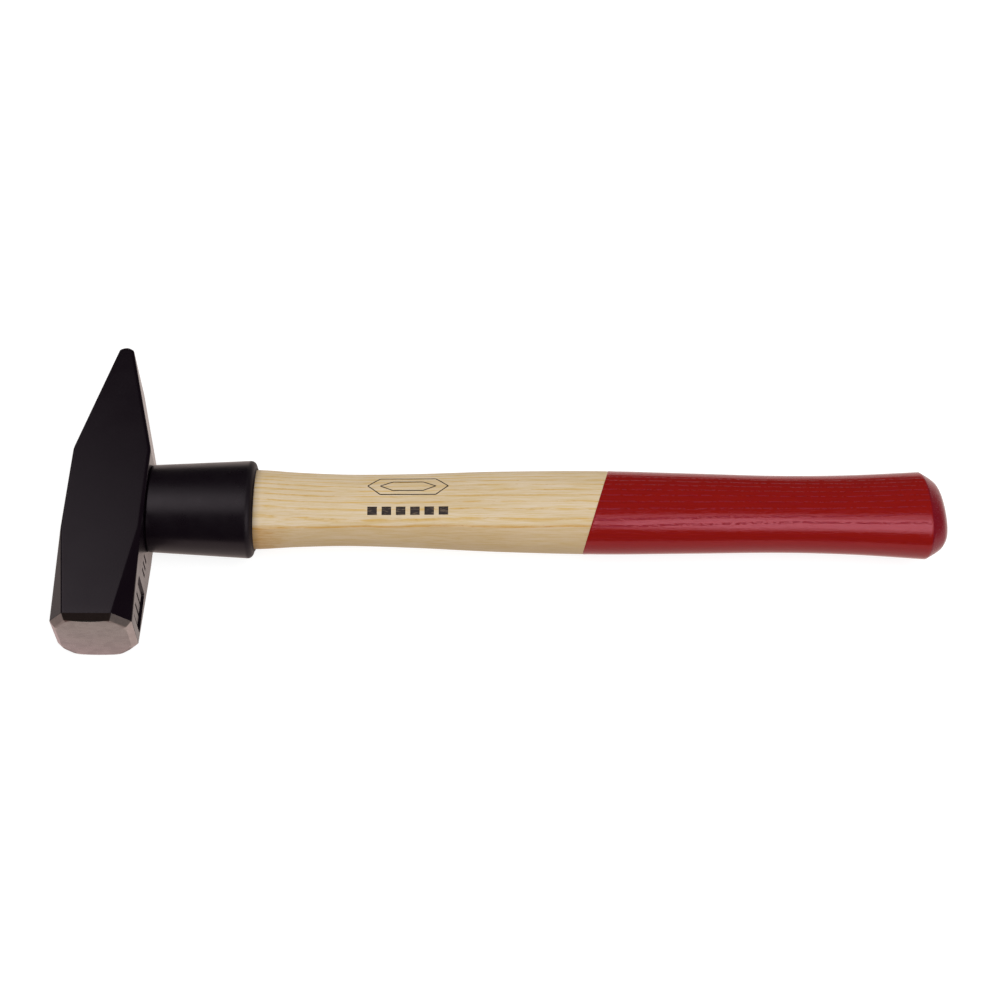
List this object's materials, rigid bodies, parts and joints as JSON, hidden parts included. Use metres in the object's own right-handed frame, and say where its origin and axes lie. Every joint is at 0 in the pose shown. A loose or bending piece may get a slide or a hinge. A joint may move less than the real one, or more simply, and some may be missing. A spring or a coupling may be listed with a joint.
{
  "type": "cross peen hammer",
  "caption": "Engineer's cross peen hammer: lacquered steel head with octagonal poll, plastic guard sleeve, double-curved ash handle with a red dipped grip.",
  "frame": {"origin": "on the lower cheek of the head, straight below the middle of the eye", "axes": "+X along the handle towards the grip end, +Y towards the peen, -Y towards the striking face, +Z out of the upper cheek"},
  "size_m": [0.32, 0.118, 0.027],
  "materials": {
    "head_steel": "forged steel in satin black lacquer; face, its chamfers and the peen edge ground bare",
    "ash_wood": "sanded pale ash, clear sealed, growth lines along the handle",
    "red_lacquer": "thick glossy dark red dip coat over open wood pores",
    "sleeve_plastic": "satin moulded black plastic",
    "wedge_wood": "plain sawn hardwood",
    "wedge_steel": "turned steel, slightly dulled"
  },
  "bodies": {
    "root": {"hammer_head": "head_steel", "handle": "ash_wood", "grip_lacquer": "red_lacquer", "protective_sleeve": "sleeve_plastic", "wooden_wedge": "wedge_wood", "ring_wedge": "wedge_steel"}
  },
  "joints": []
}
